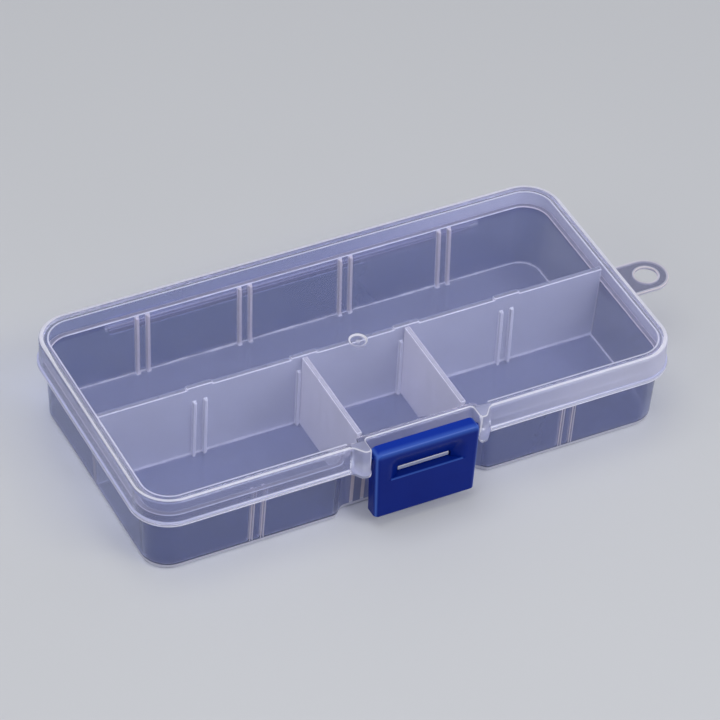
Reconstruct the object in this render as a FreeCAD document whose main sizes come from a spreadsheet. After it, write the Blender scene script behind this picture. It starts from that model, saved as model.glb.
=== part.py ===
import FreeCAD, Part
import math
import os
import Sketcher

# A pocket-size compartment box: a clear tray with a fixed lengthwise partition, two slide-in
# dividers, a lid on a film hinge and a snap latch that hangs between two lugs of the lid.
# Millimetres, +Z up, +Y towards the hinge, origin on the tray's underside at its centre.

doc = FreeCAD.newDocument("compartment_box")
sheet = doc.addObject("Spreadsheet::Sheet", "sizes")

SIZES = {
    # tray
    "tray_length": 122.4,
    "tray_width": 59.6,
    "tray_height": 17.0,
    "wall_lean": 0.9,
    "tray_wall": 1.2,
    "tray_corner": 6.1,
    "foot_bevel": 0.5,
    "foot_rise": 0.8,
    "recess_half": 16.0,
    "recess_depth": 2.3,
    "recess_round": 2.0,
    # compartments
    "slot_pitch": 24.8,
    "rib_pair": 2.6,
    "rib_width": 0.7,
    "rib_proud": 0.8,
    "rib_short": 0.4,
    "partition_thick": 1.2,
    "step_length": 6.2,
    "step_rise": 0.45,
    "divider_thick": 1.3,
    "divider_play": 0.1,
    "roof_gap": 0.3,
    # lid
    "lid_gap": 0.3,
    "lid_overlap": 2.3,
    "lid_height": 7.2,
    "lid_wall": 1.1,
    "lid_roof": 1.0,
    "lid_edge": 0.6,
    "lip_proud": 0.4,
    "lip_height": 1.1,
    "roof_root": 0.8,
    "notch_half": 12.8,
    "notch_depth": 1.6,
    "lug_width": 1.7,
    "lug_reach": 2.4,
    "lug_toe": 0.9,
    "lug_round": 0.75,
    "flare_round": 1.2,
    "gate_front": 1.5,
    "gate_radius": 1.9,
    "gate_depth": 0.35,
    # film hinge
    "hinge_length": 89.0,
    "hinge_reach": 0.9,
    "hinge_flange": 1.2,
    "hinge_gap": 0.4,
    "film_thick": 0.35,
    "film_radius": 0.75,
    # latch and its catch
    "latch_half": 12.5,
    "latch_draft": 0.5,
    "latch_proud": 3.5,
    "latch_depth": 3.3,
    "latch_below": 1.2,
    "latch_foot": 2.9,
    "latch_plate": 1.5,
    "latch_cheek": 1.4,
    "latch_corner": 1.6,
    "latch_round": 1.1,
    "window_half": 6.4,
    "window_below": 2.0,
    "window_height": 1.75,
    "window_round": 0.3,
    "grip_half": 8.8,
    "grip_below": 2.2,
    "grip_depth": 1.7,
    "grip_corner": 1.8,
    "grip_soft": 2.6,
    "hook_thick": 1.05,
    "pin_radius": 0.7,
    "pin_reach": 0.9,
    "pin_below": 2.1,
    "pin_back": 2.3,
    "pin_play": 0.1,
    "catch_half": 6.1,
    "catch_under": 0.25,
    "catch_over": 0.45,
    "catch_short": 0.3,
    # hanging tab
    "tab_width": 10.3,
    "tab_thick": 0.8,
    "tab_gap": 0.2,
    "tab_reach": 11.3,
    "tab_hole": 2.65,
}


class Dim:
    """A length that carries its number for drawing and its sheet formula for binding."""

    def __init__(self, number, formula):
        self.number = number
        self.formula = formula

    @staticmethod
    def wrap(value):
        if isinstance(value, Dim):
            return value
        return Dim(float(value), "(%r)" % float(value))

    def joined(self, sign, other, number):
        return Dim(number, "(%s %s %s)" % (self.formula, sign, other.formula))

    def __add__(self, other):
        other = Dim.wrap(other)
        return self.joined("+", other, self.number + other.number)

    def __sub__(self, other):
        other = Dim.wrap(other)
        return self.joined("-", other, self.number - other.number)

    def __mul__(self, other):
        other = Dim.wrap(other)
        return self.joined("*", other, self.number * other.number)

    def __truediv__(self, other):
        other = Dim.wrap(other)
        return self.joined("/", other, self.number / other.number)

    def __rmul__(self, other):
        return Dim.wrap(other) * self

    def __neg__(self):
        return Dim(-self.number, "(0 - %s)" % self.formula)


class Sizes:
    """The sheet's cells by name, each as a Dim."""


size = Sizes()
for row, (word, number) in enumerate(SIZES.items(), start=1):
    sheet.set("A%d" % row, word)
    sheet.set("B%d" % row, "%g" % number)
    sheet.setAlias("B%d" % row, word)
    setattr(size, word, Dim(number, "sizes.%s" % word))
doc.recompute()


def bind(item, field, dim):
    """Give a property its number and tie it to the sheet."""
    item.setExpression(field, Dim.wrap(dim).formula)


def new_body(label):
    body = doc.addObject("PartDesign::Body", label)
    body.Label = label
    return body


def origin_item(body, role):
    return next(item for item in body.Origin.OriginFeatures if item.Role == role)


def new_sketch(body, name, plane, offset):
    """A sketch on one of the body's own planes, shifted along that plane's normal."""
    sketch = body.newObject("Sketcher::SketchObject", name)
    sketch.AttachmentSupport = (origin_item(body, plane), "")
    sketch.MapMode = "FlatFace"
    bind(sketch, "AttachmentOffset.Base.z", offset)
    return sketch


def place_point(sketch, line, end, at):
    """Fix one point of a sketch line by two bound distances from the sketch's origin."""
    for kind, dim in zip(("DistanceX", "DistanceY"), at):
        index = sketch.addConstraint(Sketcher.Constraint(kind, -1, 1, line, end, dim.number))
        bind(sketch, "Constraints[%d]" % index, dim)


def as_vector(corner):
    return FreeCAD.Vector(corner[0].number, corner[1].number, 0)


def stepped(corner, step, length):
    return (corner[0] + length * step.x, corner[1] + length * step.y)


def outline(body, name, plane, offset, corners):
    """A closed sketch of straight lines, drawn anticlockwise through corners that are pairs of Dims.

    A third value in a corner is the radius of an arc that rounds it.
    """
    sketch = new_sketch(body, name, plane, offset)
    spots = [(Dim.wrap(corner[0]), Dim.wrap(corner[1])) for corner in corners]
    count = len(spots)
    arrive = list(spots)
    leave = list(spots)
    for i, corner in enumerate(corners):
        if len(corner) == 3:
            back = (as_vector(spots[i - 1]) - as_vector(spots[i])).normalize()
            ahead = (as_vector(spots[(i + 1) % count]) - as_vector(spots[i])).normalize()
            reach = corner[2] * round(math.tan((math.pi - back.getAngle(ahead)) / 2), 9)
            arrive[i] = stepped(spots[i], back, reach)
            leave[i] = stepped(spots[i], ahead, reach)
    lines = []
    for i in range(count):
        edge = Part.LineSegment(as_vector(leave[i]), as_vector(arrive[(i + 1) % count]))
        lines.append(sketch.addGeometry(edge, False))
        place_point(sketch, lines[i], 1, leave[i])
    for i, corner in enumerate(corners):
        if len(corner) == 2:
            sketch.addConstraint(Sketcher.Constraint("Coincident", lines[i - 1], 2, lines[i], 1))
            continue
        place_point(sketch, lines[i - 1], 2, arrive[i])
        travel = (as_vector(arrive[i]) - as_vector(spots[i]), as_vector(leave[i]) - as_vector(spots[i]))
        bisector = (travel[0] + travel[1]).normalize()
        half_angle = travel[0].getAngle(bisector)
        middle = as_vector(spots[i]) + bisector * (corner[2].number / math.sin(half_angle))
        circle = Part.Circle(middle, FreeCAD.Vector(0, 0, 1), corner[2].number)
        turns_left = travel[0].cross(travel[1]).z < 0
        first, last = (arrive[i], leave[i]) if turns_left else (leave[i], arrive[i])
        bend = Part.ArcOfCircle(circle, circle.parameter(as_vector(first)), circle.parameter(as_vector(last)))
        arc = sketch.addGeometry(bend, False)
        arc_start, arc_end = (1, 2) if turns_left else (2, 1)
        sketch.addConstraint(Sketcher.Constraint("Coincident", lines[i - 1], 2, arc, arc_start))
        sketch.addConstraint(Sketcher.Constraint("Coincident", arc, arc_end, lines[i], 1))
        index = sketch.addConstraint(Sketcher.Constraint("Radius", arc, corner[2].number))
        bind(sketch, "Constraints[%d]" % index, corner[2])
    return sketch


def disc(body, name, plane, offset, centre, radius):
    """A sketch of one circle."""
    sketch = new_sketch(body, name, plane, offset)
    centre = (Dim.wrap(centre[0]), Dim.wrap(centre[1]))
    middle = FreeCAD.Vector(centre[0].number, centre[1].number, 0)
    sketch.addGeometry(Part.Circle(middle, FreeCAD.Vector(0, 0, 1), radius.number), False)
    index = sketch.addConstraint(Sketcher.Constraint("Radius", 0, radius.number))
    bind(sketch, "Constraints[%d]" % index, radius)
    place_point(sketch, 0, 3, centre)
    return sketch


def rectangle(left, low, right, high):
    return [(left, low), (right, low), (right, high), (left, high)]


def pad(body, name, sketch, length):
    feature = body.newObject("PartDesign::Pad", name)
    feature.Profile = sketch
    bind(feature, "Length", length)
    doc.recompute()
    return feature


def pocket(body, name, sketch, depth):
    """Cut against the sketch's normal."""
    feature = body.newObject("PartDesign::Pocket", name)
    feature.Profile = sketch
    bind(feature, "Length", depth)
    doc.recompute()
    return feature


def loft(body, name, kind, start, sections):
    feature = body.newObject(kind, name)
    feature.Profile = start
    feature.Sections = sections
    feature.Ruled = True
    doc.recompute()
    return feature


def fillet(body, name, radius, chosen):
    """Round the edges of the body's last feature that the test picks."""
    base = body.Tip
    names = ["Edge%d" % i for i, edge in enumerate(base.Shape.Edges, start=1) if chosen(edge)]
    feature = body.newObject("PartDesign::Fillet", name)
    feature.Base = (base, names)
    bind(feature, "Radius", radius)
    doc.recompute()
    return feature


def row_of(body, name, originals, count, span):
    """Repeat features along X."""
    feature = body.newObject("PartDesign::LinearPattern", name)
    feature.Originals = originals
    feature.Direction = (origin_item(body, "X_Axis"), [""])
    bind(feature, "Length", span)
    feature.Occurrences = count
    body.Tip = feature
    doc.recompute()
    return feature


def upright(edge):
    box = edge.BoundBox
    return box.ZLength > 3 * max(box.XLength, box.YLength, 0.01)


def upright_at(across, along):
    """Test for upright edges near a plan position, on either side of the box's middle."""
    def chosen(edge):
        middle = edge.CenterOfMass
        near = abs(abs(middle.x) - across.number) < 0.8 and abs(middle.y - along.number) < 0.8
        return upright(edge) and near
    return chosen


def lies_at_height(height):
    def chosen(edge):
        box = edge.BoundBox
        return abs(box.ZMin - height.number) < 1e-4 and box.ZLength < 1e-4
    return chosen


# Where a wall bends by half a right angle, its inner face bends this much further along per unit of thickness
HALF_RIGHT_SLOPE = 2 ** 0.5 - 1

# How far the lid's flares run along the skirt per unit of their reach, and how far their corners move
# along it per unit of thickness
FLARE_RUN = 0.8
FLARE_SLOPE = math.hypot(1, FLARE_RUN) - FLARE_RUN

# Levels, from the tray's floor up to the lid's roof
floor = size.tray_wall
rib_top = size.tray_height - size.rib_short
lid_bottom = size.tray_height - size.lid_overlap
lid_top = lid_bottom + size.lid_height
roof_under = lid_top - size.lid_roof
step_top = roof_under - size.roof_gap
partition_top = step_top - size.step_rise
tab_low = lid_bottom - size.tab_gap - size.tab_thick
hinge_level = lid_bottom - size.hinge_gap / 4
latch_top = lid_top - size.latch_below
grip_top = latch_top - size.grip_below
pin_level = latch_top - size.pin_below
window_low = lid_bottom - size.window_below
window_high = window_low + size.window_height
catch_low = window_low + size.catch_under
catch_high = window_high - size.catch_over

# Plan positions: the lid's skirt goes round the tray's rim, and the latch stands out of the lid
wall_slope = size.wall_lean / size.tray_height
slots = [size.slot_pitch * turn for turn in (-1.5, -0.5, 0.5, 1.5)]
skirt_outside = size.wall_lean + size.lid_gap + size.lid_wall
lid_half_x = size.tray_length / 2 + skirt_outside
lid_half_y = size.tray_width / 2 + skirt_outside
lid_corner = size.tray_corner + skirt_outside
notch_y = lid_half_y - size.notch_depth
hinge_edge = lid_half_y + size.hinge_reach
latch_front = lid_half_y + size.latch_proud
latch_back = latch_front - size.latch_depth
catch_tip = latch_front - size.grip_depth - size.catch_short
pin_y = size.pin_back - latch_front
tab_root = size.tray_length / 2 + wall_slope * (tab_low + size.tab_thick)
tab_eye = tab_root + size.tab_reach


def inner_half(outer, height):
    """Half the clear span between two leaning tray walls at a height."""
    return outer / 2 + wall_slope * height - size.tray_wall


def tray_plan(lean, inset):
    """The tray's outline, with the latch's recess in the front wall; inset gives its inner face."""
    side = size.tray_length / 2 + lean - inset
    back = size.tray_width / 2 + lean - inset
    corner = size.tray_corner + lean - inset
    recess_root = size.recess_half + inset * HALF_RIGHT_SLOPE
    recess_mouth = recess_root + size.recess_depth
    mouth_round = size.recess_round - inset
    root_round = size.recess_round + inset
    return [
        (-side, -back, corner),
        (-recess_mouth, -back, mouth_round),
        (-recess_root, size.recess_depth - back, root_round),
        (recess_root, size.recess_depth - back, root_round),
        (recess_mouth, -back, mouth_round),
        (side, -back, corner),
        (side, back, corner),
        (-side, back, corner),
    ]


def tray_section(name, level, inset):
    return outline(tray, name, "XY_Plane", level, tray_plan(wall_slope * level, inset))


# Tray shell: leaning walls drawn up from the base and hollowed, with the front wall stepped back
tray = new_body("tray")
ground = Dim.wrap(0)
flush = Dim.wrap(0)
tray_sole = tray_section("tray_sole", ground, size.foot_bevel)
tray_foot = tray_section("tray_foot", size.foot_rise, flush)
tray_rim = tray_section("tray_rim", size.tray_height, flush)
loft(tray, "tray_block", "PartDesign::AdditiveLoft", tray_sole, [tray_foot, tray_rim])
hollow_floor = tray_section("hollow_floor", floor, size.tray_wall)
hollow_rim = tray_section("hollow_rim", size.tray_height, size.tray_wall)
loft(tray, "tray_hollow", "PartDesign::SubtractiveLoft", hollow_floor, [hollow_rim])


def wall_rib_profile(side, span, back_off):
    """Side view of a rib that follows a leaning wall; side is +1 at the back and -1 at the front."""
    low = inner_half(span, floor) - back_off
    high = inner_half(span, rib_top) - back_off
    bury = size.tray_wall / 3
    return [
        ((low - size.rib_proud) * side, floor - bury),
        ((low + bury) * side, floor - bury),
        ((high + bury) * side, rib_top),
        ((high - size.rib_proud) * side, rib_top),
    ]


def rib_pairs(name, side, back_off, first_slot, count, span):
    """Guide ribs in pairs along a long wall, one pair at each divider slot."""
    originals = []
    for letter, turn in (("a", -0.5), ("b", 0.5)):
        start = first_slot + size.rib_pair * turn - size.rib_width / 2
        profile = wall_rib_profile(side, size.tray_width, back_off)
        sketch = outline(tray, name + "_side_" + letter, "YZ_Plane", start, profile)
        originals.append(pad(tray, name + "_" + letter, sketch, size.rib_width))
    row_of(tray, name + "_row", originals, count, span)


rib_pairs("back_rib", 1, Dim.wrap(0), slots[0], 4, size.slot_pitch * 3)
rib_pairs("front_rib", -1, Dim.wrap(0), slots[0], 2, size.slot_pitch * 3)
rib_pairs("recess_rib", -1, size.recess_depth, slots[1], 2, size.slot_pitch)

# Catch bar that stands out of the recess and reaches into the latch's window
recess_face = size.tray_width / 2 + wall_slope * catch_low - size.recess_depth
catch_side = outline(
    tray,
    "catch_side",
    "YZ_Plane",
    -size.catch_half,
    rectangle(-catch_tip, catch_low, -(recess_face - size.tray_wall / 3), catch_high),
)
pad(tray, "catch_bar", catch_side, size.catch_half * 2)

# Flange on the back wall that carries the film hinge
tray_flange_top = hinge_level - size.hinge_gap / 2
back_face = size.tray_width / 2 + wall_slope * tray_flange_top
tray_flange_side = outline(
    tray,
    "tray_flange_side",
    "YZ_Plane",
    -size.hinge_length / 2,
    rectangle(
        back_face - size.tray_wall / 2,
        tray_flange_top - size.hinge_flange,
        hinge_edge,
        tray_flange_top,
    ),
)
pad(tray, "tray_flange", tray_flange_side, size.hinge_length)

# Lengthwise partition, its top stepped up at the divider slots, with cross ribs on both faces
partition = new_body("partition")
end_low = inner_half(size.tray_length, floor)
end_high = inner_half(size.tray_length, partition_top)
partition_edge = [(-end_low, floor), (end_low, floor), (end_high, partition_top)]
for slot in reversed(slots):
    right = slot + size.step_length / 2
    left = slot - size.step_length / 2
    partition_edge += [
        (right, partition_top),
        (right, step_top),
        (left, step_top),
        (left, partition_top),
    ]
partition_edge.append((-end_high, partition_top))
partition_front = outline(partition, "partition_front", "XZ_Plane", -size.partition_thick / 2, partition_edge)
pad(partition, "partition_wall", partition_front, size.partition_thick)
cross_half = size.partition_thick / 2 + size.rib_proud
cross_ribs = []
for letter, turn in (("a", -0.5), ("b", 0.5)):
    middle = slots[0] + size.rib_pair * turn
    left = middle - size.rib_width / 2
    right = middle + size.rib_width / 2
    cross_plan = rectangle(left, -cross_half, right, cross_half)
    rib_plan = outline(partition, "cross_rib_plan_" + letter, "XY_Plane", floor, cross_plan)
    cross_ribs.append(pad(partition, "cross_rib_" + letter, rib_plan, rib_top - floor))
row_of(partition, "cross_rib_row", cross_ribs, 4, size.slot_pitch * 3)

# Two slide-in dividers between the partition and the recessed front wall
divider_back = size.partition_thick / 2 + size.divider_play
divider_front_low = inner_half(size.tray_width, floor) - size.recess_depth - size.divider_play
divider_front_high = inner_half(size.tray_width, partition_top) - size.recess_depth - size.divider_play
for label, slot in (("divider_left", slots[1]), ("divider_right", slots[2])):
    divider = new_body(label)
    divider_side = outline(
        divider,
        label + "_side",
        "YZ_Plane",
        slot - size.divider_thick / 2,
        [
            (-divider_front_low, floor),
            (-divider_back, floor),
            (-divider_back, partition_top),
            (-divider_front_high, partition_top),
        ],
    )
    pad(divider, label + "_plate", divider_side, size.divider_thick)

# Lid: a shallow cap whose front skirt flares out into two lugs beside the latch's notch
lid = new_body("lid")
lug_y = lid_half_y + size.lug_reach
lug_outer = size.notch_half + size.lug_width
flare_root = lug_outer + size.lug_reach * FLARE_RUN


def lid_plan(proud):
    """The skirt's outline, grown all round but for the notch."""
    side = lid_half_x + proud
    back = lid_half_y + proud
    front = lug_y + proud
    corner = lid_corner + proud
    root = flare_root + proud * FLARE_SLOPE
    head = lug_outer + proud * FLARE_SLOPE
    return [
        (-side, -back, corner),
        (-root, -back, size.flare_round - proud),
        (-head, -front, size.flare_round + proud),
        (-size.notch_half, -front, size.lug_round),
        (-size.notch_half, -notch_y, size.lug_round),
        (size.notch_half, -notch_y, size.lug_round),
        (size.notch_half, -front, size.lug_round),
        (head, -front, size.flare_round + proud),
        (root, -back, size.flare_round - proud),
        (side, -back, corner),
        (side, back, corner),
        (-side, back, corner),
    ]


lid_sketch = outline(lid, "lid_plan", "XY_Plane", lid_bottom, lid_plan(flush))
pad(lid, "lid_block", lid_sketch, lid_top - lid_bottom)
fillet(lid, "lid_edge_round", size.lid_edge, lies_at_height(lid_top))

# Raised lip round the skirt's lower edge and the lugs, whose inner toes are rounded
lip_sketch = outline(lid, "lip_plan", "XY_Plane", lid_bottom, lid_plan(size.lip_proud))
pad(lid, "lip", lip_sketch, size.lip_height)
toe_front = lug_y + size.lip_proud * 2
toe_high = lid_bottom + size.lug_toe * 2
toe_low = lid_bottom - size.lug_toe
left_toe = [
    (-lug_outer, toe_low),
    (size.lug_toe - size.notch_half, toe_low),
    (size.lug_toe - size.notch_half, toe_high),
    (-size.notch_half, toe_high),
    (-size.notch_half, lid_bottom, size.lug_toe),
    (-lug_outer, lid_bottom),
]
right_toe = [(-corner[0],) + corner[1:] for corner in reversed(left_toe)]
for side, toe in (("left", left_toe), ("right", right_toe)):
    toe_sketch = outline(lid, "toe_front_" + side, "XZ_Plane", toe_front, toe)
    pocket(lid, "toe_" + side, toe_sketch, toe_front - notch_y)

# The lid's hollow, cut from below
cave_x = lid_half_x - size.lid_wall
cave_y = lid_half_y - size.lid_wall
cave_notch_x = size.notch_half + size.lid_wall
cave_notch_y = notch_y - size.lid_wall
cave_corner = lid_corner - size.lid_wall
cave_plan = [
    (-cave_x, -cave_y, cave_corner),
    (-cave_notch_x, -cave_y, size.lug_round),
    (-cave_notch_x, -cave_notch_y, size.lug_round),
    (cave_notch_x, -cave_notch_y, size.lug_round),
    (cave_notch_x, -cave_y, size.lug_round),
    (cave_x, -cave_y, cave_corner),
    (cave_x, cave_y, cave_corner),
    (-cave_x, cave_y, cave_corner),
]
cave_sketch = outline(lid, "cave_plan", "XY_Plane", roof_under, cave_plan)
pocket(lid, "cave", cave_sketch, roof_under - lid_bottom)
fillet(lid, "roof_roots", size.roof_root, lies_at_height(roof_under))

# Lid's half of the hinge, the latch's pin sockets and the moulding gate's dimple
lid_flange_low = hinge_level + size.hinge_gap / 2
lid_flange_side = outline(
    lid,
    "lid_flange_side",
    "YZ_Plane",
    -size.hinge_length / 2,
    rectangle(
        lid_half_y - size.lid_wall / 2,
        lid_flange_low,
        hinge_edge,
        lid_flange_low + size.hinge_flange,
    ),
)
pad(lid, "lid_flange", lid_flange_side, size.hinge_length)
socket_end = size.notch_half + size.pin_reach + size.pin_play
socket_side = disc(
    lid, "socket_side", "YZ_Plane", socket_end, (pin_y, pin_level), size.pin_radius + size.pin_play
)
pocket(lid, "pin_sockets", socket_side, socket_end * 2)
gate_plan = disc(lid, "gate_plan", "XY_Plane", lid_top, (0, -size.gate_front), size.gate_radius)
pocket(lid, "gate_dimple", gate_plan, size.gate_depth)

# Latch: a plate with cheeks, a sunk finger grip, a window for the catch and two pivot pins
latch = new_body("latch")
latch_foot_half = size.latch_half - size.latch_draft
latch_face = outline(
    latch,
    "latch_face",
    "XZ_Plane",
    latch_back,
    [
        (-latch_foot_half, size.latch_foot),
        (latch_foot_half, size.latch_foot),
        (size.latch_half, latch_top),
        (-size.latch_half, latch_top),
    ],
)
pad(latch, "latch_block", latch_face, size.latch_depth)


def at_latch_top_corner(edge):
    middle = edge.CenterOfMass
    return abs(middle.z - latch_top.number) < 0.01 and abs(abs(middle.x) - size.latch_half.number) < 0.01


def on_latch_front(edge):
    """The front face's sides and top, but not its foot."""
    box = edge.BoundBox
    return abs(box.YMax + latch_front.number) < 1e-4 and box.ZMax > size.latch_foot.number + 0.01


fillet(latch, "latch_corners", size.latch_corner, at_latch_top_corner)
fillet(latch, "latch_front_edges", size.latch_round, on_latch_front)
hook_low = window_low - size.hook_thick
hollow_half = size.latch_half - size.latch_cheek
finger_front = outline(
    latch,
    "finger_front",
    "XZ_Plane",
    latch_front - size.latch_plate,
    rectangle(-hollow_half, size.latch_foot - 1, hollow_half, hook_low),
)
pocket(latch, "finger_hollow", finger_front, size.latch_depth)


def arched(half, low, high, round_top):
    """A rectangle whose two upper corners are rounded."""
    return [(-half, low), (half, low), (half, high, round_top), (-half, high, round_top)]


grip_mouth_arch = arched(size.grip_half, window_low, grip_top, size.grip_corner)
window_arch = arched(size.window_half, window_low, window_high, size.window_round)
grip_mouth = outline(latch, "grip_mouth", "XZ_Plane", latch_front, grip_mouth_arch)
grip_floor = outline(latch, "grip_floor", "XZ_Plane", latch_front - size.grip_depth, window_arch)
loft(latch, "finger_grip", "PartDesign::SubtractiveLoft", grip_mouth, [grip_floor])


def round_grip_mouth(edge):
    """The grip's rim on the front face, apart from its level lower edge."""
    box = edge.BoundBox
    on_front = abs(box.YMax + latch_front.number) < 1e-4 and box.YLength < 1e-4
    inside = max(abs(box.XMin), abs(box.XMax)) < size.grip_half.number + 0.01
    return on_front and inside and box.ZMin > window_low.number - 0.01 and box.ZMax > window_low.number + 0.01


fillet(latch, "grip_rim", size.grip_soft, round_grip_mouth)
window_front = outline(latch, "window_front", "XZ_Plane", latch_front, window_arch)
pocket(latch, "window", window_front, size.latch_depth + 1)
pin_end = size.notch_half + size.pin_reach
pin_side = disc(latch, "pin_side", "YZ_Plane", -pin_end, (pin_y, pin_level), size.pin_radius)
pad(latch, "pivot_pins", pin_side, pin_end * 2)


def part_item(kind, name, **fields):
    """A Part primitive whose sizes and place are bound to the sheet."""
    item = doc.addObject(kind, name)
    for field, dim in fields.items():
        bind(item, field.replace("_", "."), dim)
    return item


# Hanging tab: a strap with a round end and an eye, on the tray's end wall under the lid
tab_strap = part_item(
    "Part::Box",
    "tab_strap",
    Length=tab_eye - tab_root,
    Width=size.tab_width,
    Height=size.tab_thick,
    Placement_Base_x=tab_root,
    Placement_Base_y=-size.tab_width / 2,
    Placement_Base_z=tab_low,
)
tab_end = part_item(
    "Part::Cylinder",
    "tab_end",
    Radius=size.tab_width / 2,
    Height=size.tab_thick,
    Placement_Base_x=tab_eye,
    Placement_Base_z=tab_low,
)
tab_bore = part_item(
    "Part::Cylinder",
    "tab_bore",
    Radius=size.tab_hole,
    Height=size.tab_thick * 3,
    Placement_Base_x=tab_eye,
    Placement_Base_z=tab_low - size.tab_thick,
)
tab_plate = doc.addObject("Part::Fuse", "tab_plate")
tab_plate.Base = tab_strap
tab_plate.Tool = tab_end
tab_plate.Refine = True
hang_tab = doc.addObject("Part::Cut", "hang_tab")
hang_tab.Base = tab_plate
hang_tab.Tool = tab_bore
hang_tab.Label = "hang_tab"

# Film hinge: a thin half round that joins the two flanges behind their edges
film_outer = part_item(
    "Part::Cylinder",
    "film_outer",
    Radius=size.film_radius,
    Height=size.hinge_length,
    Placement_Base_x=-size.hinge_length / 2,
    Placement_Base_y=hinge_edge,
    Placement_Base_z=hinge_level,
)
film_inner = part_item(
    "Part::Cylinder",
    "film_inner",
    Radius=size.film_radius - size.film_thick,
    Height=size.hinge_length * 2,
    Placement_Base_x=-size.hinge_length,
    Placement_Base_y=hinge_edge,
    Placement_Base_z=hinge_level,
)
along_x = FreeCAD.Rotation(FreeCAD.Vector(0, 1, 0), 90)
for roller in (film_outer, film_inner):
    roller.Placement = FreeCAD.Placement(roller.Placement.Base, along_x)
film_outer.Angle = 180
hinge_film = doc.addObject("Part::Cut", "hinge_film")
hinge_film.Base = film_outer
hinge_film.Tool = film_inner
hinge_film.Label = "hinge_film"

doc.recompute()

for item in doc.Objects:
    if "Invalid" in item.State or "Error" in item.State:
        raise RuntimeError("%s did not build: %s" % (item.Label, item.State))

nodes = [tray, partition, lid, latch, hang_tab, hinge_film]
nodes += [doc.getObject(label) for label in ("divider_left", "divider_right")]
os.makedirs("parts", exist_ok=True)
for node in nodes:
    shape = node.Shape
    if shape.isNull() or not shape.isValid() or len(shape.Solids) != 1:
        raise RuntimeError("%s is not one valid solid" % node.Label)
    box = shape.optimalBoundingBox(True, False)
    print(
        "%-14s volume %9.2f  x %7.2f %7.2f  y %7.2f %7.2f  z %6.2f %6.2f"
        % (node.Label, shape.Volume, box.XMin, box.XMax, box.YMin, box.YMax, box.ZMin, box.ZMax)
    )
    shape.exportStep("parts/%s.step" % node.Label)
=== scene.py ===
import math

import bmesh
import bpy
from mathutils import Matrix, Vector


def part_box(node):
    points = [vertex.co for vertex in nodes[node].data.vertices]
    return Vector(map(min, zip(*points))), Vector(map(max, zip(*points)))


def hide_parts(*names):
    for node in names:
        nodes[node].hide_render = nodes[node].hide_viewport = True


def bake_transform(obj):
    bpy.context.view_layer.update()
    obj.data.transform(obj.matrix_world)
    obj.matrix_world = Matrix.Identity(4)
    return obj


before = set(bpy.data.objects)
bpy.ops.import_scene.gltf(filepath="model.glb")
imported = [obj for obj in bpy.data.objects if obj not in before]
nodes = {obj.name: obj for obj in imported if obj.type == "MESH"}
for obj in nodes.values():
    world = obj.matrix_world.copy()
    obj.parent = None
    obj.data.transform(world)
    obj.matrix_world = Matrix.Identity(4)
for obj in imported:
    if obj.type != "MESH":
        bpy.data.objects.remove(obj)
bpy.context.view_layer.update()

MM = 0.001
scene = bpy.context.scene
scene.view_settings.view_transform = "Standard"


class Tone:
    """A shader socket that can be used in Python arithmetic; each operation adds a Math node."""

    def __init__(self, finish, socket):
        self.finish = finish
        self.socket = socket

    def math(self, operation, *terms):
        return self.finish.node("ShaderNodeMath", {"operation": operation}, dict(enumerate(terms)))

    def __add__(self, other):
        return self.math("ADD", self, other)

    def __radd__(self, other):
        return self.math("ADD", other, self)

    def __sub__(self, other):
        return self.math("SUBTRACT", self, other)

    def __rsub__(self, other):
        return self.math("SUBTRACT", other, self)

    def __mul__(self, other):
        return self.math("MULTIPLY", self, other)

    def __rmul__(self, other):
        return self.math("MULTIPLY", other, self)

    def __pow__(self, other):
        return self.math("POWER", self, other)

    def at_least(self, other):
        return self.math("MAXIMUM", self, other)

    def size(self):
        return self.math("ABSOLUTE", self)


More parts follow.
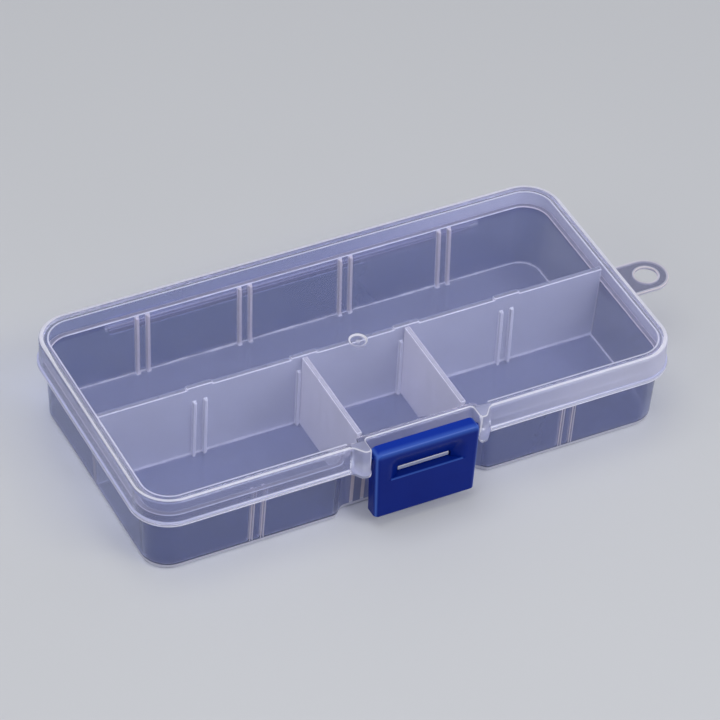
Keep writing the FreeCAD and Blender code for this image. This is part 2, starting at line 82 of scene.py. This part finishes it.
class Finish:
    """One procedural material under construction."""

    def __init__(self, name):
        self.material = bpy.data.materials.new(name)
        self.material.use_nodes = True
        self.tree = self.material.node_tree
        self.tree.nodes.clear()
        self.place = self.node("ShaderNodeTexCoord", {}, {}, "Object")

    def node(self, kind, settings, sockets, output=0):
        made = self.tree.nodes.new(kind)
        for key, value in settings.items():
            setattr(made, key, value)
        for key, value in sockets.items():
            if isinstance(value, Tone):
                self.tree.links.new(value.socket, made.inputs[key])
            else:
                made.inputs[key].default_value = value
        return None if output is None else Tone(self, made.outputs[output])

    def axis(self, letter):
        return self.node("ShaderNodeSeparateXYZ", {}, {0: self.place}, letter)

    def grain(self, scale, detail, stretch=(1, 1, 1)):
        """Noise from 0 to 1; scale is in lumps per metre."""
        spread = self.node("ShaderNodeVectorMath", {"operation": "MULTIPLY"}, {0: self.place, 1: stretch})
        return self.node("ShaderNodeTexNoise", {}, {"Vector": spread, "Scale": scale, "Detail": detail})

    def rise(self, value, low, high):
        """0 below low, 1 above high, smooth between."""
        return self.node(
            "ShaderNodeMapRange",
            {"interpolation_type": "SMOOTHSTEP"},
            {"Value": value, "From Min": low, "From Max": high},
        )

    def fall(self, value, low, high):
        """1 below low, 0 above high, smooth between."""
        return 1 - self.rise(value, low, high)

    def band(self, value, low, high, soft):
        """1 between low and high, fading to 0 over a soft border."""
        return self.rise(value, low - soft, low) * self.fall(value, high, high + soft)

    def facing(self, letter):
        """One part of the surface's direction, from -1 to 1, which turns with the piece."""
        direction = self.node("ShaderNodeTexCoord", {}, {}, "Normal")
        return self.node("ShaderNodeSeparateXYZ", {}, {0: direction}, letter)

    def upright(self):
        """1 on walls, 0 on flat floors and roofs."""
        return self.fall(self.facing("Z").size(), 0.5, 0.9)

    def blend(self, factor, first, second):
        """A mix of two colours, each one a node's output or plain red, green and blue."""
        first, second = (end if isinstance(end, Tone) else (*end, 1) for end in (first, second))
        return self.node("ShaderNodeMix", {"data_type": "RGBA"}, {0: factor, 6: first, 7: second}, 2)

    def bump(self, height, strength, distance):
        return self.node(
            "ShaderNodeBump", {}, {"Height": height, "Strength": strength, "Distance": distance}
        )

    def shader(self, **sockets):
        named = {key.replace("_", " "): value for key, value in sockets.items()}
        return self.node("ShaderNodeBsdfPrincipled", {}, named)

    def mixed(self, factor, first, second):
        return self.node("ShaderNodeMixShader", {}, {0: factor, 1: first, 2: second})

    def lets_light_in(self, surface, tint):
        """Clear walls pass the lamps' light on, tinted, instead of casting a full shadow."""
        window = self.node("ShaderNodeBsdfTransparent", {}, {0: (*tint, 1)})
        return self.mixed(self.node("ShaderNodeLightPath", {}, {}, "Is Shadow Ray"), surface, window)

    def close(self, surface):
        self.node("ShaderNodeOutputMaterial", {}, {"Surface": surface}, None)
        return self.material


class EdgeMarks(Finish):
    """A node group that marks which edges of a piece get rounded."""

    def __init__(self, name):
        self.tree = bpy.data.node_groups.new(name, "GeometryNodeTree")
        self.tree.interface.new_socket("Geometry", in_out="INPUT", socket_type="NodeSocketGeometry")
        self.tree.interface.new_socket("Geometry", in_out="OUTPUT", socket_type="NodeSocketGeometry")
        self.place = self.node("GeometryNodeInputPosition", {}, {})

    def sharper_than(self, angle):
        bend = self.node("GeometryNodeInputMeshEdgeAngle", {}, {}, "Unsigned Angle")
        return self.node("ShaderNodeMath", {"operation": "GREATER_THAN"}, {0: bend, 1: angle})

    def close(self, mark):
        shape = self.node("NodeGroupInput", {}, {})
        marked = self.node(
            "GeometryNodeStoreNamedAttribute",
            {"data_type": "FLOAT", "domain": "EDGE"},
            {"Geometry": shape, "Name": "bevel_weight_edge", "Value": mark},
        )
        self.node("NodeGroupOutput", {}, {0: marked}, None)
        return self.tree


# Tints of the clear plastic, by the faces that light passes
LID_GLASS = (0.86, 0.87, 0.95)
SKIRT_GLASS = (0.66, 0.68, 0.81)
TRAY_FLOOR_GLASS = (0.495, 0.52, 0.645)
TRAY_WALL_GLASS = (0.37, 0.41, 0.56)
TAB_GLASS = (0.39, 0.385, 0.475)
# Painted shade: the walls' tint is darkened and turned bluer by this towards the back
BACK_PAINTED_SHADE = (0.46, 0.53, 0.74)

# Colours of the milky veil, and of the painted glow on edges and ribs that stands in for light they gather
SLATE = (0.30, 0.33, 0.57)
LAVENDER = (0.46, 0.48, 0.70)
WALL_LAVENDER = (0.50, 0.515, 0.645)
PALE_LAVENDER = (0.88, 0.86, 0.93)
EDGE_WHITE = (0.90, 0.89, 0.98)
EDGE_LAVENDER = (0.82, 0.78, 0.84)
RIB_PINK = (0.80, 0.72, 0.77)
CATCH_BLUE = (0.72, 0.78, 0.98)

# Blues of the latch; LATCH_TOP is a painted lit top, LATCH_GLOW a painted highlight
LATCH_DEEP = (0.001, 0.012, 0.18)
LATCH_FRONT = (0.002, 0.019, 0.23)
LATCH_TOP = (0.004, 0.030, 0.33)
LATCH_GLOW = (0.05, 0.12, 0.48)

# Gloss of the two plastics
CLEAR_IOR = 1.49
CLEAR_GLOSS = 0.3
BLUE_IOR = 1.45
BLUE_GLOSS = 0.12

# How milky the parts are, from 0 for clear to 1
ROOF_HAZE = 0.05
SKIRT_HAZE = 0.14
# Painted light: extra milkiness on the skirt towards the right, where the light falls
SKIRT_PAINTED_LIGHT_RIGHT = 0.5
LUG_HAZE = 0.6
FLANGE_HAZE = 0.7
TRAY_HAZE = 0.15
# Painted light: extra milkiness on the tray's walls towards the right, where the light falls
TRAY_PAINTED_LIGHT_RIGHT = 0.2
RECESS_HAZE = 0.65
WALL_TOP_HAZE = 0.35
WALL_HAZE_ADDED_SIDES = 0.45
TAB_HAZE = 0.2
FILM_HAZE = 0.4

# How strong the painted glow on edges and ribs is, from 0 to 1
BRIGHTEST_VEIL = 0.85
GATE_BRIGHT = 0.5
SHINE_BRIGHT = 0.55
CATCH_BRIGHT = 0.9
FLANGE_BRIGHT = 0.7
RIM_BRIGHT = 0.55
RIB_BRIGHT = 0.9
RIB_MIDDLE_DULLED = 0.6
FOOT_DULLED_AT_BACK = 0.6
PARTITION_END_BRIGHT = 0.5
CROSS_RIB_BRIGHT = 0.75
TAB_BRIGHT = 0.8
LEDGE_BRIGHT = 0.8
LATCH_EDGE_BRIGHT = 0.7

# Stretches over which a finish's painted light and shade change, towards the back or towards the right
WALLS_TO_BACK = (20 * MM, 28 * MM)
FOOT_TO_BACK = (10 * MM, 28 * MM)
BORDER_TO_BACK = (15 * MM, 25 * MM)
BORDER_TO_RIGHT = (55 * MM, 60 * MM)
SKIRT_TO_RIGHT = (-50 * MM, 50 * MM)
TRAY_TO_RIGHT = (-20 * MM, 50 * MM)
SHINE_TO_RIGHT = (0, 60 * MM)
NOTCH_TO_BACK = (-20 * MM, -18 * MM)

# Border over which a painted bright line fades
FADE = 0.1 * MM

# Sizes and places on the lid; places are measured from the middle of the box's underside
lid_low, lid_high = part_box("lid")
ROOF = 1.0 * MM
LIP_PROUD = 0.4 * MM
LIP_RISE = 1.1 * MM
LID_HALF_X = lid_high.x - LIP_PROUD
LID_HALF_Y = 32.1 * MM
LID_CORNER = 8.4 * MM
TOP_ROUND = 0.9 * MM
BORDER = 0.5 * MM
BORDER_ADDED_FAR = 0.45 * MM
ROOT_LINE = (1.9 * MM, 2.2 * MM)
HEM = 0.3 * MM
LUG_OUTER = 16.4 * MM
LUG_BACK = -31.4 * MM
LUG_TIP_X = 13.4 * MM
LUG_TIP_Y = -33.9 * MM
LUG_ZONE_HALF = 17.5 * MM
LUG_ZONE_BACK = -29.0 * MM
LUG_ZONE_TOP = 20.4 * MM
GATE_Y = -1.5 * MM
GATE_RADIUS = 1.9 * MM

# Sizes and places on the tray and the partition
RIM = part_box("tray")[1].z
WALL = 1.2 * MM
WALL_LEAN = 0.053
TRAY_HALF_WIDTH = 29.8 * MM
TRAY_END = 59.0 * MM
FOOT_RISE = 0.8 * MM
SLOT_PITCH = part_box("divider_right")[0].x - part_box("divider_left")[0].x
RIB_NEAR = 0.9 * MM
RIB_FAR = 1.7 * MM
RIB_EDGE = 0.25 * MM
RIB_TOP = 16.6 * MM
LAST_RIB = 45.0 * MM
RECESS_REACH = 17.0 * MM
RECESS_FRONT = -29.3 * MM
RECESS_BACK = -26.0 * MM
CATCH_FRONT = -32.1 * MM
BACK_WALL = 25.0 * MM
FLANGE_ROOT = 30.9 * MM
FLANGE_UNDER = 14.9 * MM
FLANGE_SEEN_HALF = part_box("hinge_film")[1].x + 1.5 * MM
PARTITION_HALF = 0.6 * MM

# Sizes and places on the hanging tab
tab_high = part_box("hang_tab")[1]
TAB_RADIUS = tab_high.y
TAB_EYE_X = tab_high.x - TAB_RADIUS
TAB_EYE_RADIUS = 2.65 * MM
TAB_RIM = 0.5 * MM
TAB_EYE_RIM = 0.4 * MM

# Sizes and places on the latch
latch_low, latch_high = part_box("latch")
LATCH_HALF = 12.5 * MM
LATCH_ROUND = 1.5 * MM
LATCH_EDGE = (0.3 * MM, 1.7 * MM)
GRIP_HALF = 8.8 * MM
GRIP_LEDGE = 12.7 * MM
LEDGE_HALF = 0.12 * MM

# The film hinge: its thickness, the share it loses at the fold and the steps of its bend
FILM_THICK = 0.35 * MM
FILM_THINNED = 0.3
FILM_STEPS = 16

# Rounding of sharp edges
EDGE_WIDTH = 0.18 * MM
SHARP_ANGLE = math.radians(35)
FLAT_ANGLE = math.radians(0.2)
WELD_GAP = 0.001 * MM


def scaled(colour, factor):
    return tuple(part * factor for part in colour)


def evenly(value):
    return lambda f: value


def before_flange(f):
    """The top of the tray's back wall, through which the hinge flange shows."""
    back = f.band(f.axis("Y"), BACK_WALL, FLANGE_ROOT, 0.5 * FADE)
    top = f.band(f.axis("Z"), FLANGE_UNDER, RIM, FADE)
    return back * top * f.fall(f.axis("X").size(), FLANGE_SEEN_HALF, FLANGE_SEEN_HALF + 2 * FADE)


def clear_plastic(
    name,
    veil,
    haze,
    bright,
    bright_tone=evenly(EDGE_WHITE),
    flat_glass=LID_GLASS,
    wall_glass=LID_GLASS,
    passing=0.4,
    roughness=0.08,
):
    """Milky clear plastic: a glassy share under a pale veil, cloudy and slightly wavy as moulded.

    haze, bright and bright_tone are functions of the finish: how thick the veil is, where a painted glow
    turns it into a bright edge or rib, and that glow's colour. passing is the share of light that goes
    through the veil.
    """
    f = Finish(name)
    cloud = f.grain(scale=120, detail=3)
    flow = f.grain(scale=70, detail=4, stretch=(1, 5, 1))
    fine = f.grain(scale=3200, detail=2)
    relief = f.bump(flow, strength=0.06, distance=0.2 * MM)
    # Painted shade: the walls' glass tint darkens and turns bluer towards the back, and takes the lid's
    # lighter tint where the hinge flange shows
    back_shaded = tuple(part * depth for part, depth in zip(wall_glass, BACK_PAINTED_SHADE))
    walls = f.blend(f.rise(f.axis("Y"), *WALLS_TO_BACK), wall_glass, back_shaded)
    walls = f.blend(before_flange(f), walls, LID_GLASS)
    glassy = f.shader(
        Base_Color=f.blend(f.upright(), flat_glass, walls),
        Roughness=roughness + 0.03 * cloud,
        IOR=CLEAR_IOR,
        Specular_IOR_Level=CLEAR_GLOSS,
        Transmission_Weight=1.0,
        Normal=relief,
    )
    lit = bright(f)
    veil_tone = f.blend(flow, scaled(veil, 0.88), scaled(veil, 1.08))
    milky = f.shader(
        Base_Color=f.blend(lit, veil_tone, bright_tone(f)),
        Roughness=0.45 + 0.1 * fine,
        IOR=CLEAR_IOR,
        Specular_IOR_Level=CLEAR_GLOSS,
        Transmission_Weight=passing,
        Normal=relief,
    )
    thickness = haze(f) + 0.08 * (cloud - 0.5)
    surface = f.mixed(thickness.at_least(BRIGHTEST_VEIL * lit), glassy, milky)
    return f.close(f.lets_light_in(surface, [part ** 0.5 for part in flat_glass]))


def painted_edge_glow(name, tone, quiet_tone, quiet):
    """Bright soft edge of clear plastic: a painted glow standing in for light gathered inside that comes
    out.

    quiet is a function of the finish that says where the edge is duller, and quiet_tone its colour there.
    """
    f = Finish(name)
    cloud = f.grain(scale=260, detail=3)
    bright = f.blend(cloud, scaled(tone, 0.88), tone)
    surface = f.shader(
        Base_Color=f.blend(quiet(f), bright, quiet_tone),
        Roughness=0.28 + 0.1 * cloud,
        IOR=CLEAR_IOR,
        Transmission_Weight=0.25,
    )
    return f.close(surface)


def far_side(f):
    return f.rise(f.axis("Y"), -FADE, FADE)


def faces_up(f):
    return f.rise(f.facing("Z"), 0.6, 0.9)


def latch_top(f):
    return f.rise(f.axis("Z"), latch_high.z - LATCH_ROUND, latch_high.z - LATCH_ROUND + 3 * FADE)


def latch_glow(f):
    """Painted highlight on the latch: its rounded edges, the grip's ledge and the top front edge."""
    height = f.axis("Z")
    depth = f.axis("Y")
    sideways = f.axis("X").size()
    squareness = f.facing("X").size().at_least(f.facing("Y").size()).at_least(f.facing("Z").size())
    near_side = f.rise(sideways, LATCH_HALF - LATCH_ROUND - 3 * FADE, LATCH_HALF - LATCH_ROUND)
    rounded = latch_top(f).at_least(near_side) * f.fall(squareness, 0.72, 0.97)
    ledge = f.band(height, GRIP_LEDGE - LEDGE_HALF, GRIP_LEDGE + LEDGE_HALF, 0.8 * FADE)
    ledge = ledge * f.fall(sideways, GRIP_HALF - 4 * FADE, GRIP_HALF)
    ledge = ledge * f.fall(depth, latch_low.y + 3 * FADE, latch_low.y + 4.5 * FADE)
    off_edge = (latch_high.z - height).at_least(depth - latch_low.y)
    front_edge = f.fall(off_edge, *LATCH_EDGE)
    return rounded.at_least(LEDGE_BRIGHT * ledge).at_least(LATCH_EDGE_BRIGHT * front_edge)


def blue_plastic():
    """Deep blue plastic with a painted lighter top and a painted highlight on its edges."""
    f = Finish("latch_blue")
    cloud = f.grain(scale=160, detail=3)
    fine = f.grain(scale=5200, detail=3)
    # Painted light: the top faces lighter than the sides
    body = f.blend(faces_up(f) * latch_top(f), f.blend(cloud, LATCH_DEEP, LATCH_FRONT), LATCH_TOP)
    surface = f.shader(
        Base_Color=f.blend(latch_glow(f), body, LATCH_GLOW),
        Roughness=0.26 + 0.08 * fine,
        IOR=BLUE_IOR,
        Specular_IOR_Level=BLUE_GLOSS,
        Normal=f.bump(fine, strength=0.06, distance=0.1 * MM),
    )
    return f.close(surface)


def lid_haze(f):
    """The flat roof is nearly clear, and the skirt, the lugs and the hinge flange are milky; the skirt grows
    milkier towards the right as painted light.
    """
    past_lip = LID_HALF_Y + LIP_PROUD
    flange = f.rise(f.axis("Y"), past_lip + 0.2 * FADE, past_lip + FADE)
    painted_light_right = SKIRT_PAINTED_LIGHT_RIGHT * f.rise(f.axis("X"), *SKIRT_TO_RIGHT)
    skirt = (SKIRT_HAZE + painted_light_right) * f.upright()
    lugs = f.fall(f.axis("X").size(), LUG_OUTER, LUG_OUTER + 4 * FADE)
    lugs = lugs * f.fall(f.axis("Y"), LUG_BACK, LUG_BACK + 8 * FADE)
    return (ROOF_HAZE + skirt).at_least(FLANGE_HAZE * flange).at_least(LUG_HAZE * lugs)


def tray_flange(f):
    """The hinge flange behind the tray's back wall."""
    return f.rise(f.axis("Y"), FLANGE_ROOT, FLANGE_ROOT + 2 * FADE)


def tray_haze(f):
    """The walls and the floor are nearly clear, and the hinge flange and the latch's recess are milky; the
    walls grow milkier towards the right as painted light.
    """
    walls = TRAY_HAZE + TRAY_PAINTED_LIGHT_RIGHT * f.upright() * f.rise(f.axis("X"), *TRAY_TO_RIGHT)
    recess = f.fall(f.axis("X").size(), RECESS_REACH, RECESS_REACH + 5 * FADE)
    recess = recess * f.band(f.axis("Y"), RECESS_FRONT, RECESS_BACK, 3 * FADE) * f.upright()
    return walls.at_least(FLANGE_HAZE * tray_flange(f)).at_least(RECESS_HAZE * recess)


def wall_haze(f):
    """Milky sides, with clearer tops that show the depth of the wall."""
    return WALL_TOP_HAZE + WALL_HAZE_ADDED_SIDES * f.upright()


def in_from_rim(f):
    """How far a point lies inside the lid's outline, in plan; it stops growing past the corner's radius."""
    beyond_x = (f.axis("X").size() - (LID_HALF_X - LID_CORNER)).at_least(0)
    beyond_y = (f.axis("Y").size() - (LID_HALF_Y - LID_CORNER)).at_least(0)
    return LID_CORNER - (beyond_x ** 2 + beyond_y ** 2) ** 0.5


def ring(f, centre_x, centre_y):
    """Distance from an upright line, in plan."""
    return ((f.axis("X") - centre_x) ** 2 + (f.axis("Y") - centre_y) ** 2) ** 0.5


def lid_rim_lines(f):
    """Painted bright lines round the roof: its rounded edge, the border beside it and the root of the skirt
    below it.
    """
    height = f.axis("Z")
    tilt = f.facing("Z")
    inward = in_from_rim(f)
    notch = f.fall(f.axis("X").size(), LUG_OUTER, LUG_OUTER + 6 * FADE)
    off_notch = 1 - notch * f.fall(f.axis("Y"), *NOTCH_TO_BACK)
    near_top = f.rise(height, lid_high.z - TOP_ROUND, lid_high.z - TOP_ROUND + 2 * FADE)
    rounded = near_top * f.band(tilt, 0.6, 0.85, 0.1)
    far = f.rise(f.axis("Y"), *BORDER_TO_BACK).at_least(f.rise(f.axis("X"), *BORDER_TO_RIGHT))
    reach = BORDER + BORDER_ADDED_FAR * far
    border = f.rise(tilt, 0.75, 0.85) * f.fall(inward, reach, reach + FADE) * off_notch
    underside = lid_high.z - ROOF
    under_roof = f.band(height, underside - 2 * FADE, underside + 2 * FADE, FADE)
    under_roof = under_roof * f.rise(tilt.size(), 0.9, 0.97)
    root_line = under_roof * f.band(inward, *ROOT_LINE, FADE) * off_notch
    return rounded.at_least(border).at_least(root_line)


def lid_gate(f):
    """The moulding gate's rim and the point in its middle."""
    off_gate = ring(f, 0, GATE_Y)
    rim = f.band(off_gate, 0.85 * GATE_RADIUS, 1.05 * GATE_RADIUS, FADE)
    return rim.at_least(f.fall(off_gate, 0.2 * GATE_RADIUS, 0.35 * GATE_RADIUS))


def lid_edges(f):
    """Painted highlights: bright lines round the roof, on the lugs' upright edges, at the gate and along the
    hem.
    """
    tips = f.fall(f.axis("X").size(), LUG_TIP_X, LUG_TIP_X + 2 * FADE)
    tips = tips * f.fall(f.axis("Y"), LUG_TIP_Y, LUG_TIP_Y + 3 * FADE)
    lug_edges = tips * f.band(f.facing("X").size(), 0.3, 0.93, 0.1)
    hem = f.upright() * f.fall(f.axis("Z"), lid_low.z + HEM, lid_low.z + 1.5 * HEM)
    # Painted sheen: the skirt's walls lighter towards the right
    shine = SHINE_BRIGHT * f.upright() * f.rise(f.axis("X"), *SHINE_TO_RIGHT)
    lines = lid_rim_lines(f).at_least(lug_edges)
    return lines.at_least(GATE_BRIGHT * lid_gate(f)).at_least(hem).at_least(shine)


def lip_top(f):
    """The lip's upper edge, which the painted edge glow leaves as dull as the skirt."""
    middle = lid_low.z + LIP_RISE
    return f.band(f.axis("Z"), middle - 3 * FADE, middle + 3 * FADE, 0.5 * FADE)


def inside_walls(f):
    """1 on what stands proud of the long walls' inner faces, above the floor."""
    height = f.axis("Z")
    inner_face = TRAY_HALF_WIDTH - WALL + WALL_LEAN * height
    inside = f.rise(inner_face - f.axis("Y").size(), 0.2 * FADE, 0.6 * FADE)
    return inside * f.rise(height, 1.05 * WALL, 1.2 * WALL)


def catch_bar(f):
    return f.fall(f.axis("Y"), CATCH_FRONT, CATCH_FRONT + 4 * FADE)


def tray_foot(f):
    """A painted bright line along the rounded foot all round, brighter in front than at the back."""
    foot = f.band(f.axis("Z"), 0.3 * FOOT_RISE, 1.6 * FOOT_RISE, 0.15 * FOOT_RISE)
    dulled = FOOT_DULLED_AT_BACK * f.rise(f.axis("Y"), *FOOT_TO_BACK)
    return foot * f.fall(f.facing("Z").size(), 0.7, 0.8) * (1 - dulled)


def tray_ribs(f):
    """Painted glow on the pairs of divider ribs, and on their two edges where they show through the long
    walls.
    """
    along = f.axis("X")
    turn = f.node("ShaderNodeMath", {"operation": "FRACT"}, {0: along * (1 / SLOT_PITCH)})
    off_slot = (turn - 0.5).size() * SLOT_PITCH
    ribs = f.band(off_slot, RIB_NEAR, RIB_FAR, 0.5 * FADE)
    ribs = ribs * f.fall(along.size(), LAST_RIB, LAST_RIB + 10 * FADE)
    long_walls = f.rise(f.facing("Y").size(), 0.8, 0.9)
    long_walls = long_walls * f.band(f.axis("Z"), 1.3 * WALL, RIB_TOP, 2 * FADE)
    middle = f.band(off_slot, RIB_NEAR + RIB_EDGE, RIB_FAR - RIB_EDGE, FADE)
    return ribs * inside_walls(f).at_least(long_walls * (RIB_BRIGHT - RIB_MIDDLE_DULLED * middle))


def tray_edges(f):
    """Painted glow on the foot, ribs, catch, flange and rim, and on the partition's ends seen through the
    end walls.
    """
    rim = f.rise(f.axis("Z"), RIM - 1.5 * FADE, RIM - 0.5 * FADE)
    end_walls = f.upright() * f.rise(f.axis("X").size(), TRAY_END, TRAY_END + 10 * FADE)
    partition_end = end_walls * f.fall(f.axis("Y").size(), PARTITION_HALF, PARTITION_HALF + 3 * FADE)
    lines = tray_foot(f).at_least(tray_ribs(f)).at_least(CATCH_BRIGHT * catch_bar(f))
    lines = lines.at_least(FLANGE_BRIGHT * tray_flange(f)).at_least(RIM_BRIGHT * rim)
    return lines.at_least(PARTITION_END_BRIGHT * partition_end)


def tray_bright_tone(f):
    """Colours of the painted glow: pinkish ribs, a whiter foot, and a catch with a painted blue tint from
    the latch in front of it.
    """
    foot = f.fall(f.axis("Z"), 2.2 * FOOT_RISE, 2.4 * FOOT_RISE)
    return f.blend(catch_bar(f), f.blend(foot, RIB_PINK, EDGE_WHITE), CATCH_BLUE)


def wall_edges(f):
    """A painted bright line where an upright wall stands on the floor."""
    return f.fall(f.axis("Z"), 1.5 * WALL, 1.7 * WALL)


def partition_edges(f):
    """Painted highlights on the cross ribs, and the painted line of an upright wall."""
    ribs = f.rise(f.axis("Y").size(), 1.03 * PARTITION_HALF, 1.15 * PARTITION_HALF)
    return (CROSS_RIB_BRIGHT * ribs).at_least(wall_edges(f))


def tab_edges(f):
    """Painted bright rims of the hanging tab and of its eye."""
    beyond = (f.axis("X") - TAB_EYE_X).at_least(0)
    off_middle = (beyond ** 2 + f.axis("Y") ** 2) ** 0.5
    outer = f.rise(off_middle, TAB_RADIUS - TAB_RIM - 2 * FADE, TAB_RADIUS - TAB_RIM)
    eye_rim = TAB_EYE_RADIUS + TAB_EYE_RIM
    eye = f.fall(ring(f, TAB_EYE_X, 0), eye_rim, eye_rim + 2 * FADE)
    return TAB_BRIGHT * outer.at_least(eye)


def edges_to_round():
    """Every sharp edge, apart from those of the lid's lugs, which are moulded round already."""
    f = EdgeMarks("edges_to_round")
    lugs = f.fall(f.axis("X").size(), LUG_ZONE_HALF, LUG_ZONE_HALF + FADE)
    lugs = lugs * f.fall(f.axis("Y"), LUG_ZONE_BACK, LUG_ZONE_BACK + FADE)
    lugs = lugs * f.band(f.axis("Z"), lid_low.z - FADE, LUG_ZONE_TOP, FADE)
    return f.close(f.sharper_than(SHARP_ANGLE) * (1 - lugs))


edge_marks = edges_to_round()


def clean_and_soften(node):
    """Join the facets of flat faces and round the marked edges, whose faces take the second finish, a
    painted glow.
    """
    piece = nodes[node]
    weld = piece.modifiers.new("weld", "WELD")
    weld.merge_threshold = WELD_GAP
    flat = piece.modifiers.new("flat", "DECIMATE")
    flat.decimate_type = "DISSOLVE"
    flat.angle_limit = FLAT_ANGLE
    marks = piece.modifiers.new("marks", "NODES")
    marks.node_group = edge_marks
    soft = piece.modifiers.new("soft_edges", "BEVEL")
    soft.width = EDGE_WIDTH
    soft.segments = 2
    soft.limit_method = "WEIGHT"
    soft.use_clamp_overlap = False
    soft.material = 1
    even = piece.modifiers.new("even_normals", "WEIGHTED_NORMAL")
    even.weight = 100


def dress(node, *finishes):
    """Give a piece its finish; where there is a second one, a painted edge glow, edges are rounded and take
    that.
    """
    mesh = nodes[node].data
    mesh.materials.clear()
    for finish in finishes:
        mesh.materials.append(finish)
    if len(finishes) > 1:
        clean_and_soften(node)


lid_clear = clear_plastic(
    "lid_clear", LAVENDER, lid_haze, lid_edges, wall_glass=SKIRT_GLASS, passing=0.3, roughness=0.04
)
tray_clear = clear_plastic(
    "tray_clear",
    SLATE,
    tray_haze,
    tray_edges,
    bright_tone=tray_bright_tone,
    flat_glass=TRAY_FLOOR_GLASS,
    wall_glass=TRAY_WALL_GLASS,
)
partition_clear = clear_plastic("partition_clear", WALL_LAVENDER, wall_haze, partition_edges, passing=0.1)
divider_clear = clear_plastic("divider_clear", PALE_LAVENDER, wall_haze, wall_edges, passing=0.1)
tab_clear = clear_plastic(
    "tab_clear", SLATE, evenly(TAB_HAZE), tab_edges, flat_glass=TAB_GLASS, roughness=0.06
)
film_clear = clear_plastic("film_clear", LAVENDER, evenly(FILM_HAZE), evenly(0.0))
# Painted glow for the rounded edges of the clear pieces
lid_edge = painted_edge_glow("lid_edge_white", EDGE_WHITE, LAVENDER, lip_top)
tray_edge = painted_edge_glow("tray_edge_white", EDGE_WHITE, RIB_PINK, inside_walls)
partition_edge = painted_edge_glow("partition_edge_white", EDGE_WHITE, WALL_LAVENDER, far_side)
divider_edge = painted_edge_glow("divider_edge_lavender", EDGE_LAVENDER, PALE_LAVENDER, faces_up)
dress("lid", lid_clear, lid_edge)
dress("tray", tray_clear, tray_edge)
dress("partition", partition_clear, partition_edge)
dress("divider_left", divider_clear, divider_edge)
dress("divider_right", divider_clear, divider_edge)
dress("hang_tab", tab_clear, tray_edge)
dress("latch", blue_plastic())


def film_strip():
    """Half-round strip behind the two flanges, thinner along its fold line."""
    low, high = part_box("hinge_film")
    middle = (low.z + high.z) / 2
    radius = (high.z - low.z) / 2
    strip = bmesh.new()
    rings = []
    for step in range(FILM_STEPS + 1):
        turn = math.pi * step / FILM_STEPS
        away = math.sin(turn)
        rise = -math.cos(turn)
        inner = radius - FILM_THICK * (1 - FILM_THINNED * away)
        places = [(x, low.y + r * away, middle + r * rise) for r in (inner, radius) for x in (low.x, high.x)]
        rings.append([strip.verts.new(place) for place in places])
    for first, second in zip(rings, rings[1:]):
        for a, b in ((0, 1), (1, 3), (3, 2), (2, 0)):
            strip.faces.new((first[a], first[b], second[b], second[a]))
    for end in (rings[0], rings[-1]):
        strip.faces.new((end[0], end[1], end[3], end[2]))
    bmesh.ops.recalc_face_normals(strip, faces=strip.faces)
    mesh = bpy.data.meshes.new("film_strip")
    strip.to_mesh(mesh)
    strip.free()
    mesh.materials.append(film_clear)
    piece = bpy.data.objects.new("film_strip", mesh)
    scene.collection.objects.link(piece)
    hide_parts("hinge_film")
    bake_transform(piece)


film_strip()

# Stage: pale floor, soft boxes and the photograph's camera
FLOOR_HALF = 3.0
FLOOR_DROP = 0.2 * MM
FLOOR_DARK = (0.58, 0.59, 0.62)
FLOOR_LIGHT = (0.61, 0.62, 0.65)
SKY = (0.94, 0.96, 1.0, 1)
SKY_STRENGTH = 0.35
EYE = Vector((-326.35, -599.84, 615.05)) * MM
FORWARD = Vector((0.36035, 0.65907, -0.66013)).normalized()
ROLL = math.radians(3.369)
LENS = 208.72
SENSOR = 36
NEAREST_SEEN = 10 * MM


def pale_floor():
    f = Finish("pale_floor")
    tone = f.blend(f.grain(scale=6, detail=2), FLOOR_DARK, FLOOR_LIGHT)
    mesh = bpy.data.meshes.new("floor")
    corners = [Vector((x, y, 0)) * FLOOR_HALF for x, y in ((-1, -1), (1, -1), (1, 1), (-1, 1))]
    mesh.from_pydata(corners, [], [(0, 1, 2, 3)])
    mesh.materials.append(f.close(f.shader(Base_Color=tone, Roughness=0.6)))
    floor = bpy.data.objects.new("floor", mesh)
    floor.location.z = -FLOOR_DROP
    scene.collection.objects.link(floor)


def studio_sky():
    world = bpy.data.worlds.new("studio")
    world.use_nodes = True
    background = world.node_tree.nodes["Background"]
    background.inputs["Color"].default_value = SKY
    background.inputs["Strength"].default_value = SKY_STRENGTH
    scene.world = world


def soft_box(name, place, aim, width, height, power):
    lamp = bpy.data.lights.new(name, "AREA")
    lamp.shape = "RECTANGLE"
    lamp.size = width
    lamp.size_y = height
    lamp.energy = power
    holder = bpy.data.objects.new(name, lamp)
    holder.location = place
    holder.rotation_euler = (Vector(aim) - Vector(place)).to_track_quat("-Z", "Y").to_euler()
    scene.collection.objects.link(holder)


def photo_camera():
    """The camera fitted to the box's edges in the photograph."""
    level = FORWARD.cross(Vector((0, 0, 1))).normalized()
    upward = level.cross(FORWARD)
    right = level * math.cos(ROLL) + upward * math.sin(ROLL)
    up = upward * math.cos(ROLL) - level * math.sin(ROLL)
    camera = bpy.data.objects.new("camera", bpy.data.cameras.new("camera"))
    camera.data.lens = LENS
    camera.data.sensor_width = SENSOR
    camera.data.clip_start = NEAREST_SEEN
    camera.matrix_world = Matrix.Translation(EYE) @ Matrix((right, up, -FORWARD)).transposed().to_4x4()
    scene.collection.objects.link(camera)
    scene.camera = camera


pale_floor()
studio_sky()
soft_box("top_box", place=(-0.1, 0.0, 0.75), aim=(0, 0, 0), width=0.6, height=0.5, power=2.1)
soft_box("left_box", place=(-0.65, -0.1, 0.35), aim=(0, 0, 0.01), width=0.5, height=0.5, power=0.8)
soft_box("front_box", place=(0.36, -0.66, 0.66), aim=(0, 0, 0.01), width=0.5, height=0.3, power=3.6)
photo_camera()
